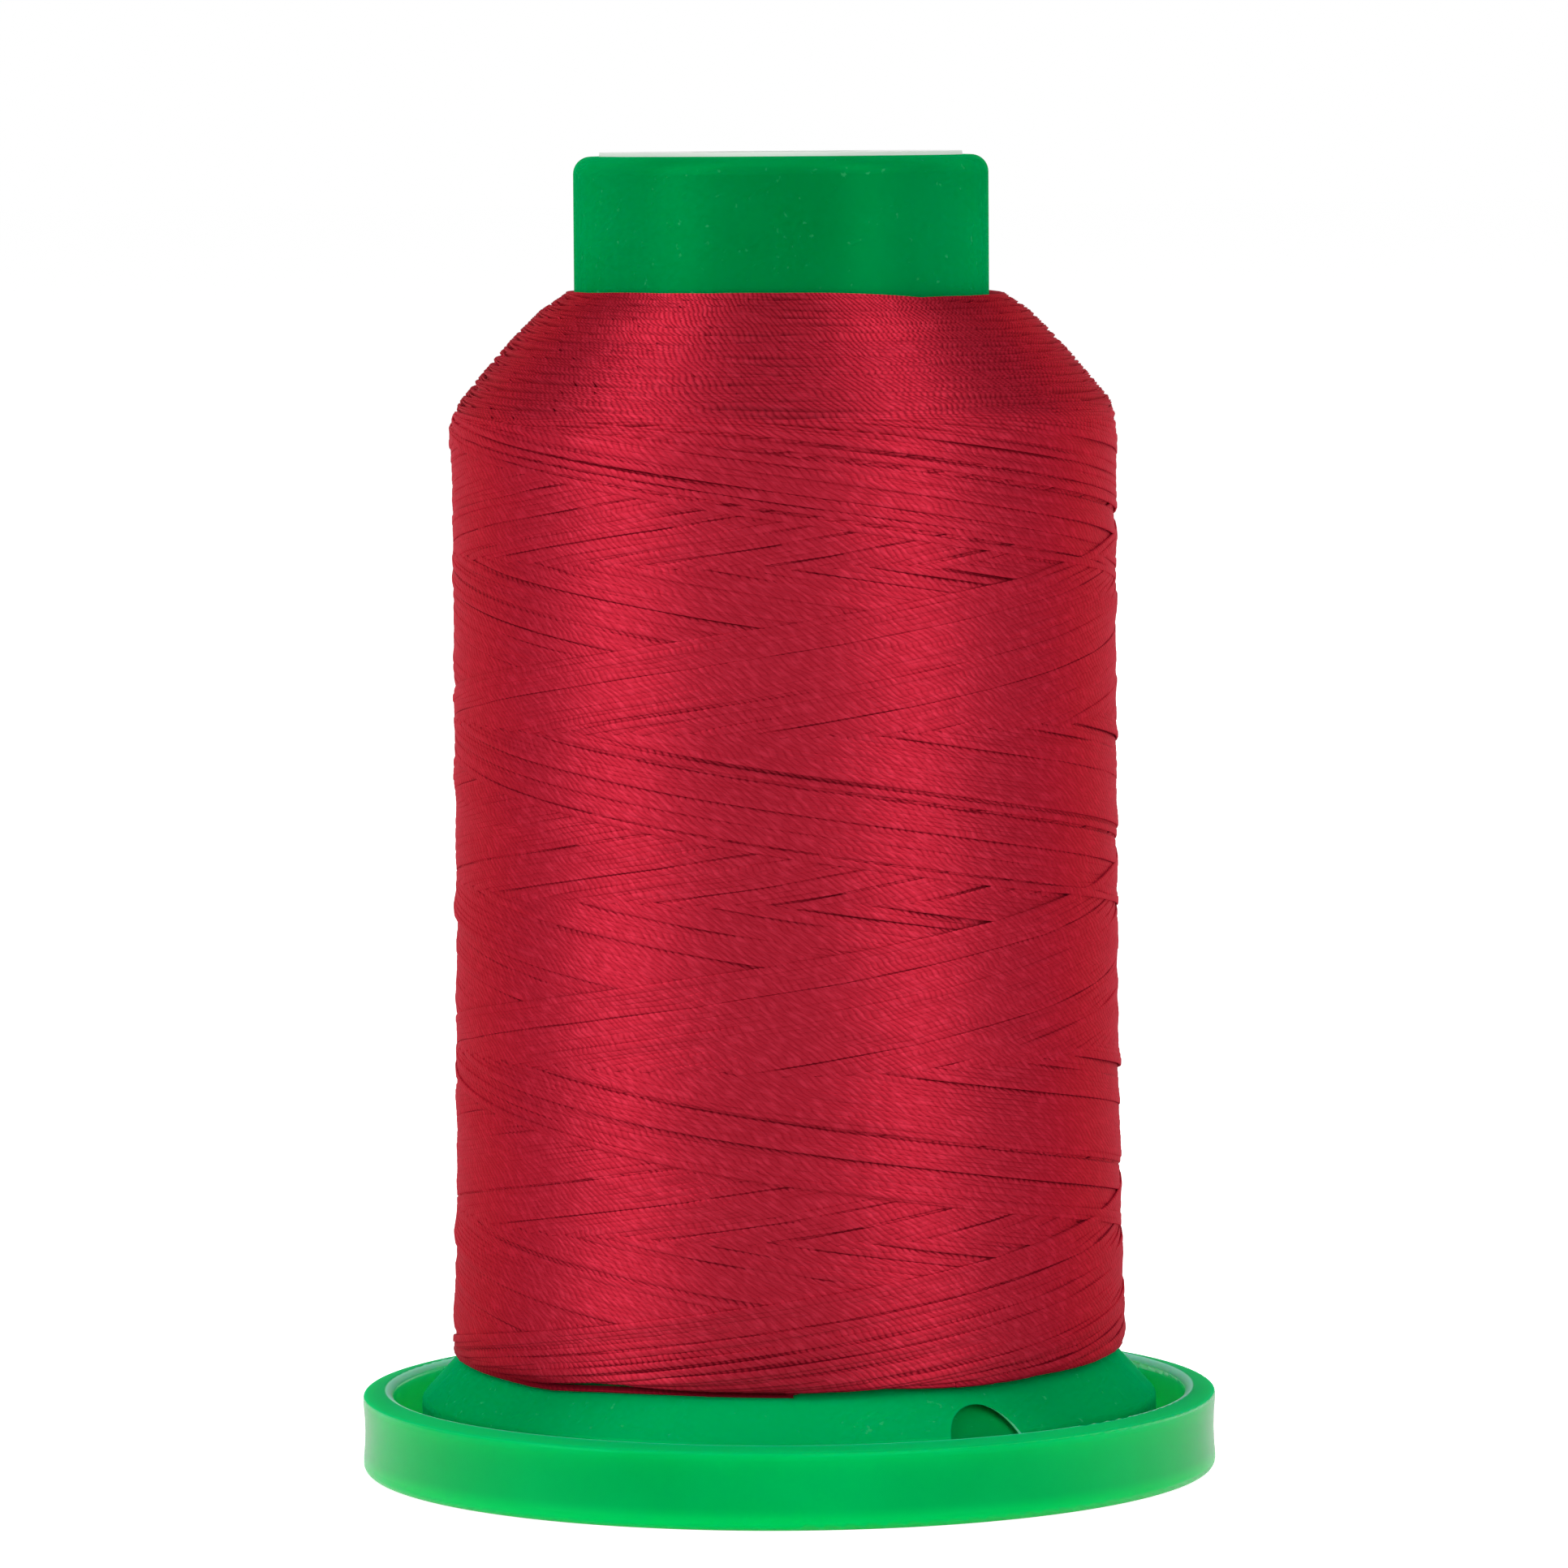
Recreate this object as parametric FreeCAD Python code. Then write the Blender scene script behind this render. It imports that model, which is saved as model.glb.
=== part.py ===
"""Spool of embroidery thread on a two-piece snap spool: a core with a spreading foot, and a dished
base that snaps into the core's bore. The base pulls 4 mm away from the foot, which opens a ring gap
for the thread's tail.

Millimetres. +Z is the spool's axis, the origin is the centre of the face that it stands on, and
-Y is the front.
"""

import FreeCAD
import Part
import math
import os

from FreeCAD import Vector

# Spool pin that the spool runs on
pin_hole_radius = 4.2
pin_boss_wall = 1.4
pin_bore_length = 3.0

# Base, a shallow dish with a ring channel around the foot
channel_width = 1.48
base_floor = 1.2
rim_height = 3.95
rim_width = 1.6
rim_lip_rise = 0.34
rim_waist = 0.08
rim_edge_round = 0.2
rim_inner_round = 0.5
base_corner_round = 0.4
dish_corner_round = 0.5

# Core, a tube with a conical foot
core_height = 68.3
core_radius = 10.75
core_wall = 1.3
end_wall = 1.6
collar_round = 0.9
foot_radius = 19.17
foot_edge_height = 3.8
foot_edge_round = 0.6
foot_lower_round = 0.3
foot_slope = 47.5
foot_wall = 1.4
hub_radius = 11.0
hub_to_floor = 1.0

# Arched notch sunk into the foot's wall, to the right of the front
notch_width = 4.5
notch_top = 5.3
notch_depth = 0.45
notch_azimuth = -58.5

# Snap: a slotted sleeve on the base, with a bead that runs in a recess of the core's bore
open_travel = 4.0
sleeve_clearance = 0.05
sleeve_wall = 1.2
sleeve_height = 12.8
bead_height = 1.2
bead_depth = 0.4
bead_clearance = 0.1
bead_lead_in = 0.4
slot_count = 4
slot_width = 2.0
slot_floor = 3.0
slot_azimuth = 45.0

# Winding: a cylinder with a conical lower end and a domed cone above
pack_radius = 17.3
pack_lower_gap = 0.1
shoulder_height = 54.6
shoulder_top = 61.4
shoulder_bulge = 0.55
shoulder_edge_round = 1.0
pack_seat_gap = 0.05

# Outer turns of the winding: one thread that goes up in one layer, comes down in the next with the
# wider turns of its tail, and ends along the foot
thread_radius = 0.12
thread_seat_gap = 0.05
layer_step = 0.76
cross_turns = 4
tail_turns = 3
shoulder_turns = 6
end_quarters = 1
first_turn_rise = 1.5
last_turn_rise = 0.85
collar_gap = 0.55
thread_start = 0.0
gap_step = 0.25

# Round paper label on the core's end
label_radius = 9.4
label_hole_radius = 4.7
label_thickness = 0.2

# Worked out from the sizes above
lip_radius = foot_radius + channel_width
base_radius = lip_radius + rim_width
bore_radius = core_radius - core_wall
sleeve_radius = bore_radius - sleeve_clearance
sleeve_top = base_floor + sleeve_height
bead_bottom = sleeve_top - bead_height
bead_radius = sleeve_radius + bead_depth
recess_radius = bead_radius + bead_clearance
recess_bottom = bead_bottom - open_travel - bead_clearance
recess_top = sleeve_top + bead_lead_in + bead_clearance
pin_boss_radius = pin_hole_radius + pin_boss_wall
slope = math.tan(math.radians(foot_slope))
foot_wall_rise = foot_wall / math.cos(math.radians(foot_slope))
pack_bore = core_radius + pack_seat_gap


def cone_height(radius, rise=0.0):
    """Height of the foot's cone at a radius, or of a cone above or below it."""
    return foot_edge_height + (foot_radius - radius) * slope + rise


def on_section(radius, height):
    """Point of a turned outline, in the plane through the axis."""
    return Vector(radius, 0, height)


def corner_arc(before, corner, after, radius):
    """Arc of the given radius that is tangent to both sides of a corner."""
    back = (before - corner).normalize()
    ahead = (after - corner).normalize()
    half = back.getAngle(ahead) / 2
    reach = radius / math.tan(half)
    centre = corner + (back + ahead).normalize() * (radius / math.sin(half))
    middle = centre + (corner - centre).normalize() * radius
    return Part.Arc(corner + back * reach, middle, corner + ahead * reach)


def turned(corners):
    """Solid of revolution of corners (radius, height, round), where round may be left out."""
    points = [on_section(corner[0], corner[1]) for corner in corners]
    rounds = [corner[2] if len(corner) > 2 else 0.0 for corner in corners]
    edges = []
    starts = []
    ends = []
    for index, corner in enumerate(points):
        if rounds[index] > 0:
            after = points[(index + 1) % len(points)]
            arc = corner_arc(points[index - 1], corner, after, rounds[index]).toShape()
            edges.append(arc)
            starts.append(arc.firstVertex().Point)
            ends.append(arc.lastVertex().Point)
        else:
            starts.append(corner)
            ends.append(corner)
    for index in range(len(points)):
        start = ends[index]
        end = starts[(index + 1) % len(points)]
        if start.distanceToPoint(end) > 1e-6:
            edges.append(Part.makeLine(start, end))
    return revolved(edges)


def revolved(edges):
    """Solid of revolution of the closed outline that the edges make."""
    wire = Part.Wire(Part.__sortEdges__(edges))
    return Part.Face(wire).revolve(Vector(0, 0, 0), Vector(0, 0, 1), 360)


def snap_base():
    """Dish with a pin hole, and the slotted sleeve that snaps into the core."""
    dish = turned([
        (pin_hole_radius, 0),
        (base_radius, 0, base_corner_round),
        (base_radius, rim_height, rim_edge_round),
        (lip_radius, rim_height + rim_lip_rise, rim_inner_round),
        (lip_radius, base_floor, dish_corner_round),
        (pin_boss_radius, base_floor),
        (pin_boss_radius, pin_bore_length),
        (pin_hole_radius, pin_bore_length),
    ])
    waist_low = on_section(base_radius, base_corner_round + rim_edge_round)
    waist_high = on_section(base_radius, rim_height - 2 * rim_edge_round)
    waist_middle = (waist_low + waist_high) / 2 - Vector(rim_waist, 0, 0)
    hollow = Part.Arc(waist_low, waist_middle, waist_high).toShape()
    dish = dish.cut(revolved([hollow, Part.makeLine(waist_low, waist_high)]))

    inner = sleeve_radius - sleeve_wall
    sleeve = turned([
        (inner, base_floor),
        (sleeve_radius, base_floor),
        (sleeve_radius, bead_bottom),
        (bead_radius, bead_bottom),
        (bead_radius, sleeve_top - bead_lead_in),
        (sleeve_radius - bead_lead_in, sleeve_top + bead_lead_in),
        (inner, sleeve_top + bead_lead_in),
    ])
    for index in range(slot_count):
        corner = Vector(0, -slot_width / 2, slot_floor)
        slot = Part.makeBox(recess_radius, slot_width, recess_top - slot_floor, corner)
        slot.rotate(Vector(0, 0, 0), Vector(0, 0, 1), slot_azimuth + 360 * index / slot_count)
        sleeve = sleeve.cut(slot)
    return dish.fuse(sleeve).removeSplitter()


def notch_cutter():
    """Round-topped prism that reaches inwards to the notch's back, which follows the foot's wall."""
    half = notch_width / 2
    spring = notch_top - half
    inside = (hub_radius + foot_radius) / 2
    left = Vector(inside, -half, 0)
    left_spring = Vector(inside, -half, spring)
    right = Vector(inside, half, 0)
    right_spring = Vector(inside, half, spring)
    edges = [
        Part.makeLine(left, left_spring),
        Part.Arc(left_spring, Vector(inside, 0, notch_top), right_spring).toShape(),
        Part.makeLine(right_spring, right),
        Part.makeLine(right, left),
    ]
    cutter = Part.Face(Part.Wire(edges)).extrude(Vector(foot_radius, 0, 0))
    cutter.rotate(Vector(0, 0, 0), Vector(0, 0, 1), notch_azimuth)
    back_radius = foot_radius - notch_depth
    back_rise = notch_depth / math.cos(math.radians(foot_slope))
    back = turned([
        (hub_radius, 0),
        (back_radius, 0),
        (back_radius, cone_height(back_radius, -back_rise)),
        (hub_radius, cone_height(hub_radius, -back_rise)),
    ])
    return cutter.cut(back)


def spool_core():
    """Tube, closed by an end wall with a pin hole above, that spreads into a hollow foot below."""
    inner_foot = foot_radius - foot_wall
    core = turned([
        (pin_hole_radius, core_height),
        (core_radius, core_height, collar_round),
        (core_radius, cone_height(core_radius)),
        (foot_radius, foot_edge_height, foot_edge_round),
        (foot_radius, base_floor, foot_lower_round),
        (inner_foot, base_floor),
        (inner_foot, cone_height(inner_foot, -foot_wall_rise)),
        (hub_radius, cone_height(hub_radius, -foot_wall_rise)),
        (hub_radius, base_floor + hub_to_floor),
        (bore_radius, base_floor + hub_to_floor),
        (bore_radius, recess_bottom),
        (recess_radius, recess_bottom),
        (recess_radius, recess_top),
        (bore_radius, recess_top + recess_radius - bore_radius),
        (bore_radius, core_height - end_wall),
        (pin_boss_radius, core_height - end_wall),
        (pin_boss_radius, core_height - pin_bore_length),
        (pin_hole_radius, core_height - pin_bore_length),
    ])
    return core.cut(notch_cutter())


class WindingOutline:
    """Section of the winding, some way beneath its surface: straight up, then one convex arc."""

    def __init__(self, depth):
        edge = on_section(pack_radius, shoulder_height)
        top = on_section(core_radius, shoulder_top)
        chord = top - edge
        half = chord.Length / 2
        across = Vector(chord.z, 0, -chord.x).normalize()
        surface_reach = (half ** 2 + shoulder_bulge ** 2) / (2 * shoulder_bulge)
        self.centre = (edge + top) / 2 - across * (surface_reach - shoulder_bulge)
        self.reach = surface_reach - depth
        self.radius = pack_radius - depth
        self.low = cone_height(pack_radius, pack_lower_gap)
        self.edge_height = self.height_at(self.radius)
        self.straight = self.edge_height - self.low

    def height_at(self, radius):
        """Height where the shoulder has this radius."""
        return self.centre.z + math.sqrt(self.reach ** 2 - (radius - self.centre.x) ** 2)

    def angle_at(self, radius):
        """Angle of the shoulder's arc about its own centre where it has this radius."""
        return math.acos((radius - self.centre.x) / self.reach)

    def rise_at(self, radius):
        """Distance along the section, from its lower edge to where the shoulder has this radius."""
        turn = self.angle_at(radius) - self.angle_at(self.radius)
        return self.straight + turn * self.reach

    def at(self, rise):
        """Point of the section that far along it from its lower edge."""
        if rise < self.straight:
            return on_section(self.radius, self.low + rise)
        angle = self.angle_at(self.radius) + (rise - self.straight) / self.reach
        return self.centre + Vector(self.reach * math.cos(angle), 0, self.reach * math.sin(angle))


outer_depth = thread_radius
inner_depth = outer_depth + layer_step
plain_depth = inner_depth + thread_radius + thread_seat_gap


def thread_pack():
    """Wound thread beneath the outer turns, as one plain body on the core."""
    outline = WindingOutline(plain_depth)
    seat = pack_seat_gap / math.cos(math.radians(foot_slope))
    foot = on_section(pack_bore, cone_height(pack_bore, seat))
    lower = on_section(outline.radius, cone_height(outline.radius, seat))
    edge = on_section(outline.radius, outline.edge_height)
    top = on_section(pack_bore, outline.height_at(pack_bore))
    middle = outline.at((outline.straight + outline.rise_at(pack_bore)) / 2)
    pack = revolved([
        Part.makeLine(foot, lower),
        Part.makeLine(lower, edge),
        Part.Arc(edge, middle, top).toShape(),
        Part.makeLine(top, foot),
    ])
    rims = [
        rim for rim in pack.Edges
        if rim.BoundBox.ZLength < 1e-3 and abs(rim.BoundBox.ZMax - edge.z) < 1e-3
    ]
    return pack.makeFillet(shoulder_edge_round, rims)


def layer_rises(depth, first_rise, wide_turns):
    """Rise at each quarter turn of one layer: wide turns up the side, close ones on the shoulder."""
    outline = WindingOutline(depth)
    wide = 4 * wide_turns
    close = 4 * shoulder_turns
    side = outline.straight - first_rise
    shoulder = outline.rise_at(core_radius + collar_gap) - outline.straight
    rises = [first_rise + side * index / wide for index in range(wide)]
    rises += [outline.straight + shoulder * index / close for index in range(close + 1)]
    return rises


def turn_nodes():
    """Rise and depth of the thread at each quarter turn, up in one layer and down in the next."""
    middle_depth = (inner_depth + outer_depth) / 2
    middle_rise = WindingOutline(middle_depth).rise_at(core_radius + collar_gap)
    up = layer_rises(inner_depth, first_turn_rise, cross_turns)
    down = [last_turn_rise] * end_quarters + layer_rises(outer_depth, last_turn_rise, tail_turns)
    nodes = [(rise, inner_depth) for rise in up]
    nodes.append((middle_rise, middle_depth))
    nodes += [(rise, outer_depth) for rise in reversed(down)]
    return nodes


def thread_point(turn, rise, depth):
    """Point on the thread's line, at an angle in radians about the axis."""
    section = WindingOutline(depth).at(rise)
    return Vector(section.x * math.cos(turn), section.x * math.sin(turn), section.z)


def arc_from(start, tangent_point, end):
    """Arc from start to end, whose two tangents meet at tangent_point."""
    chord_middle = (start + end) / 2
    half_chord = start.distanceToPoint(end) / 2
    side = start.distanceToPoint(tangent_point)
    rise = half_chord * math.tan(math.acos(min(1.0, half_chord / side)) / 2)
    middle = chord_middle + (tangent_point - chord_middle).normalize() * rise
    return Part.Arc(start, middle, end)


def biarc(start, heading, end, end_heading):
    """Two arcs that leave start along heading, meet smoothly and reach end along end_heading."""
    span = end - start
    both = heading + end_heading
    spread = 2 * (1 - heading.dot(end_heading))
    along = span.dot(both)
    reach = (math.sqrt(along ** 2 + spread * span.dot(span)) - along) / spread
    first = start + heading * reach
    second = end - end_heading * reach
    joint = (first + second) / 2
    return [arc_from(start, first, joint), arc_from(joint, second, end)]


def thread_path():
    """Straight end, biarcs of a quarter turn each, and a straight end."""
    nodes = turn_nodes()
    quarter = math.pi / 2
    start = math.radians(thread_start)
    points = []
    headings = []
    for index, (rise, depth) in enumerate(nodes):
        before = nodes[max(index - 1, 0)]
        after = nodes[min(index + 1, len(nodes) - 1)]
        steps = min(index + 1, len(nodes) - 1) - max(index - 1, 0)
        climb = (after[0] - before[0]) / (steps * quarter)
        sink = (after[1] - before[1]) / (steps * quarter)
        turn = start + index * quarter
        small = 1e-4
        ahead = thread_point(turn + small, rise + climb * small, depth + sink * small)
        behind = thread_point(turn - small, rise - climb * small, depth - sink * small)
        points.append(thread_point(turn, rise, depth))
        headings.append((ahead - behind).normalize())
    end_run = 2 * thread_radius
    runs = [Part.makeLine(points[0] - headings[0] * end_run, points[0])]
    for index in range(len(points) - 1):
        arcs = biarc(points[index], headings[index], points[index + 1], headings[index + 1])
        runs += [arc.toShape() for arc in arcs]
    runs.append(Part.makeLine(points[-1], points[-1] + headings[-1] * end_run))
    return runs


def least_gap(runs):
    """Least gap of the tube to itself, from points along it that lie over a quarter turn apart."""
    points = []
    travelled = 0.0
    for run in runs:
        count = max(2, int(run.Length / gap_step))
        first = run.FirstParameter
        span = run.LastParameter - first
        for index in range(count):
            share = index / count
            points.append((run.valueAt(first + span * share), travelled + run.Length * share))
        travelled += run.Length
    cell = 4 * thread_radius + 2 * layer_step
    cells = {}
    for point, place in points:
        key = (int(point.x // cell), int(point.y // cell), int(point.z // cell))
        cells.setdefault(key, []).append((point, place))
    apart = math.pi / 2 * core_radius
    least = cell
    for (column, row, level), members in cells.items():
        near = []
        for across in (-1, 0, 1):
            for along in (-1, 0, 1):
                for above in (-1, 0, 1):
                    near += cells.get((column + across, row + along, level + above), [])
        for point, place in members:
            for other, other_place in near:
                if other_place - place > apart:
                    least = min(least, point.distanceToPoint(other))
    return least - 2 * thread_radius, travelled


def thread_turns():
    """Outer turns of the winding, one unbroken tube with its two ends at the foot."""
    runs = thread_path()
    gap, length = least_gap(runs)
    print("outer turns: %.1f loops, length %.0f mm" % ((len(runs) - 2) / 8, length))
    print("outer turns: least gap to itself %.3f mm" % gap)
    path = Part.Wire(runs)
    start = path.Edges[0].valueAt(path.Edges[0].FirstParameter)
    heading = path.Edges[0].tangentAt(path.Edges[0].FirstParameter)
    ring = Part.Wire([Part.Circle(start, heading, thread_radius).toShape()])
    tube = Part.BRepOffsetAPI.MakePipeShell(path)
    tube.add(ring)
    tube.build()
    tube.makeSolid()
    solid = Part.Solid(tube.shape())
    expected = math.pi * thread_radius ** 2 * length
    print("outer turns: volume %.3f mm3, section times length %.3f mm3" % (solid.Volume, expected))
    return solid


def top_label():
    """Bare paper ring on the core's end wall."""
    ring = Part.makeCylinder(label_radius, label_thickness, Vector(0, 0, core_height))
    hole = Part.makeCylinder(label_hole_radius, label_thickness, Vector(0, 0, core_height))
    return ring.cut(hole)


os.makedirs("parts", exist_ok=True)
pieces = {
    "snap_base": snap_base,
    "spool_core": spool_core,
    "thread_pack": thread_pack,
    "thread_turns": thread_turns,
    "top_label": top_label,
}
for name, make in pieces.items():
    shape = make()
    shape.exportStep("parts/%s.step" % name)
    print("%s: %d solid, %.1f mm3" % (name, len(shape.Solids), shape.Volume))
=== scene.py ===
import bpy
import numpy as np
from mathutils import Matrix, Vector


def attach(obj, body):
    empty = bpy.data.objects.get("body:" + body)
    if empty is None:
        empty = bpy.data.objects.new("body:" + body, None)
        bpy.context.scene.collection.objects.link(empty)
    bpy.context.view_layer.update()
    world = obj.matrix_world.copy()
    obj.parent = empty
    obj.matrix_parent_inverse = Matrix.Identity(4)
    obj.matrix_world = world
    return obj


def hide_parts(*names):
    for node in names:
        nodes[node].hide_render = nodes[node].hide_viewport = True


MM = 0.001
TURN = 2 * np.pi

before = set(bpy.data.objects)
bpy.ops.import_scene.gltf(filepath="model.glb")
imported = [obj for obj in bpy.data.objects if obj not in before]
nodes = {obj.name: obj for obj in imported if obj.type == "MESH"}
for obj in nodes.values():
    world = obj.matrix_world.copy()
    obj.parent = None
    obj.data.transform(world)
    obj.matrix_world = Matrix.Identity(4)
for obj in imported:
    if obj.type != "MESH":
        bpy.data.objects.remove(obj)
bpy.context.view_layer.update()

# Measured winding, in millimetres: the wound surface as radius and height, from the foot to the collar
WOUND_OUTLINE = (
    (17.1, 6.1), (17.32, 6.25), (17.45, 6.7), (17.48, 7.4), (17.41, 9.5), (17.3, 13.0), (17.24, 20.0),
    (17.17, 28.0), (17.17, 51.0), (17.24, 53.2), (17.26, 54.3), (16.92, 55.1), (15.27, 57.1), (13.85, 58.7),
    (12.34, 60.2), (11.2, 60.95), (10.8, 61.3),
)
MID_HEIGHT = 30.0
OUTLINE_STEPS = 4000
OUTLINE_BLUR = 71

# One thread, in millimetres: as it lies in the winding, as it touches what is under it, and as it is
# shown, by half width, half height and roundness
THREAD_HALF_WIDTH = 0.165
THREAD_HALF_HEIGHT = 0.085
THREAD_BLUNTNESS = 2.5
CONTACT_HALF_WIDTH = 0.11
CONTACT_BLUNTNESS = 2.0
SIDE_SECTION = (0.19, 0.065, 0.5)
THREAD_SIDES = 12

# Strokes up and down the side, in millimetres: rise in one turn, where the newest ones and their
# crossings lie, and how round they turn back
LEAD = 17.15
NEWEST_UP = 44.83
NEWEST_DOWN = 33.75
TOP_CROSSING = 56.44
LOW_CROSSING = 4.99
TOP_ROUNDING = 1.3
TOP_ROUNDING_SPREAD = 0.35
LOW_ROUNDING = 1.1
LOW_ROUNDING_SPREAD = 0.2
STROKES = 84
STROKES_PER_LAYER = 60
STROKE_OVERLAP = 6
LANE_UNEVENNESS = 0.03
SLIP = 0.05
SEED = 11

# Wider gaps between neighbouring strokes: distance from the newest stroke, and width
GAPS_UP = (
    (1.07, 0.17), (4.93, 0.17), (6.4, 0.1), (9.25, 0.25), (11.0, 0.2), (12.7, 0.17), (13.7, 0.23),
    (15.07, 0.17),
)
GAPS_DOWN = (
    (0.93, 0.11), (1.76, 0.11), (3.28, 0.27), (6.25, 0.17), (7.66, 0.15), (8.5, 0.15), (10.9, 0.12),
    (12.3, 0.1), (13.4, 0.13), (14.0, 0.19), (14.9, 0.12),
)

# The loose last turns: turns from the front, and height
TAIL_TRACK = (
    (-0.33, 54.85), (-0.25, 54.3), (-0.194, 53.45), (-0.062, 51.3), (0.042, 49.6), (0.108, 48.5),
    (0.194, 47.25), (0.5, 42.3), (0.806, 36.83), (0.938, 34.5), (1.108, 31.55), (1.194, 30.35),
    (1.5, 25.6), (1.806, 20.17), (2.0, 16.9), (2.194, 13.83), (2.5, 8.8), (2.6, 7.4), (2.7, 6.6),
    (2.85, 6.25), (3.004, 6.04),
)
TAIL_BLUR = 61
TAIL_SLIP = 0.02

# Height field on which the thread is laid: columns round the spool, cells along the outline
COLUMNS = 720
CELL = 0.03
DEEP = -4.0
FIELD_MARGIN = 0.6
EDGE_CELLS = 8
SHUT_CELLS = 8
POINT_EVERY = 10

# How a thread settles on the field and is drawn taut over it
SETTLE_ROUNDS = 3
SETTLE_PROBE = 0.05
SETTLE_RATE = 0.3
SETTLE_BLUR = 25
TAUT_ROUNDS = 2
TAUT_SPANS = (48, 32, 20, 12, 8, 5, 3, 2, 1)
LEVEL_BLUR = 9
SIDE_RADIUS = 17.2

# Mean of the field, that the measured outline stands for
LAID_OVER = DEEP / 2
COVERED = 0.9
MEAN_ROUNDS = 2
MEAN_COLUMNS = 40
MEAN_ROWS = 80
MEAN_BLUR = 31

# How far a thread's own level shows: rise, and share of the level above the mean
SQUEEZE = (
    (6.0, 0.2), (9.0, 0.25), (16.0, 0.27), (22.0, 0.33), (50.5, 0.33), (53.5, 0.2), (56.0, 0.05),
    (63.0, 0.05),
)

# The last strokes that are shown, the letters of their pieces, and how far they stand off the axis
SHOWN_STROKES = 150
SIDE_PIECES = "abcde"
OFF_AXIS = 0.05

# Earlier reversals on the shoulder, in millimetres and turns
ARCS_PER_LAYER = 40
LAYER_STEP = 0.55
EDGE_RISE = 55.0
ARC_REACH = 0.1
ARC_SPREAD = 0.04
ARC_TURN_SPREAD = 0.004
ARC_SINK = 6.0
ARC_ROUNDING = 4.0
ARC_RADIUS = 14.0
ARC_SECTION = (0.34, 0.05, 1.0)
ARC_BULGE = 0.7
ARC_OFF_AXIS = 0.1
TOP_MARGIN = 0.12
SIDE_UNDER_EDGE = 0.2
UNDERSIDE = -0.6

# Fibres at the thread's cut end, in millimetres
FIBRES = 14
FIBRE_POINTS = 9
FIBRE_SECTION = (0.022, 0.022, 1.0)
FIBRE_START = (-0.3, -0.02, 0.0)
FIBRE_SPREAD = 0.04
FIBRE_WAY = ((0.3, 1.0), (-0.35, 0.1), (-0.5, 0.25))
FIBRE_CURL = 0.12
FIBRE_REACH = 0.9
FIBRE_LENGTHS = (0.5, 1.0)

# The core and its foot, as in the solids, and the wound body between them and the threads
CORE_RADIUS = 10.8
FOOT_RADIUS = 19.17
FOOT_EDGE_HEIGHT = 3.8
FOOT_SLOPE = np.tan(np.radians(47.5))
BODY_DEPTH = 0.1
BODY_OFF_FOOT = 0.1
BODY_OFF_LOW = 0.5
BODY_OFF_TOP = 0.4
BODY_ROWS = 90
BODY_COLUMNS = 180


def srgb(red, green, blue):
    """Linear colour of an 8-bit screen colour."""
    values = np.array([red, green, blue]) / 255
    low = values / 12.92
    high = ((values + 0.055) / 1.055) ** 2.4
    return (*np.where(values <= 0.04045, low, high), 1.0)


def math_node(tree, operation, first, second=None, third=None):
    node = tree.nodes.new("ShaderNodeMath")
    node.operation = operation
    for index, value in enumerate((first, second, third)):
        if value is None:
            continue
        if hasattr(value, "is_linked"):
            tree.links.new(value, node.inputs[index])
        else:
            node.inputs[index].default_value = value
    return node.outputs[0]


# Camera, floor and light
CAMERA_PLACE = (-0.00005, -0.45875, 0.07075)
CAMERA_PITCH_DOWN = 4.372
CAMERA_ROLL = -0.396
CAMERA_LENS = 203.05
CAMERA_SENSOR = 36.0
CAMERA_CLIP_END = 20.0

WORLD_LIGHT = 0.24
FLOOR_REACH = 6.0
FLOOR_PAINT = 0.82
FLOOR_GLOW = 0.8
FLOOR_MIRRORED = 0.4

# Softboxes: name, azimuth to the right of the camera's side and elevation in degrees, distance,
# width, height and power
SOFTBOXES = (
    ("softbox_left", -59, 12, 0.8, 0.42, 1.6, 6.6),
    ("softbox_right", 48, 12, 0.8, 0.34, 1.6, 5.65),
    ("top_light", 0, 75, 0.9, 0.8, 0.8, 1.35),
    ("backdrop_left", -148, 10, 0.8, 0.8, 0.9, 2.0),
    ("backdrop_right", 148, 10, 0.8, 0.8, 0.9, 2.0),
)
LIT_POINT = (0, 0, 0.032)


def add_camera():
    data = bpy.data.cameras.new("camera")
    data.lens = CAMERA_LENS
    data.sensor_width = CAMERA_SENSOR
    data.clip_end = CAMERA_CLIP_END
    camera = bpy.data.objects.new("camera", data)
    bpy.context.collection.objects.link(camera)
    tilt = Matrix.Rotation(np.radians(90 - CAMERA_PITCH_DOWN), 4, "X")
    roll = Matrix.Rotation(np.radians(CAMERA_ROLL), 4, "Z")
    camera.matrix_world = Matrix.Translation(CAMERA_PLACE) @ tilt @ roll
    bpy.context.scene.camera = camera


def ray_is(tree, *kinds):
    """Socket that is 1 for the kinds of ray named, such as Camera."""
    path = tree.nodes.new("ShaderNodeLightPath")
    socket = path.outputs[f"Is {kinds[0]} Ray"]
    for kind in kinds[1:]:
        socket = math_node(tree, "MAXIMUM", socket, path.outputs[f"Is {kind} Ray"])
    return socket


def plain_background(tree, strength):
    background = tree.nodes.new("ShaderNodeBackground")
    background.inputs["Color"].default_value = (1, 1, 1, 1)
    background.inputs["Strength"].default_value = strength
    return background


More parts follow.
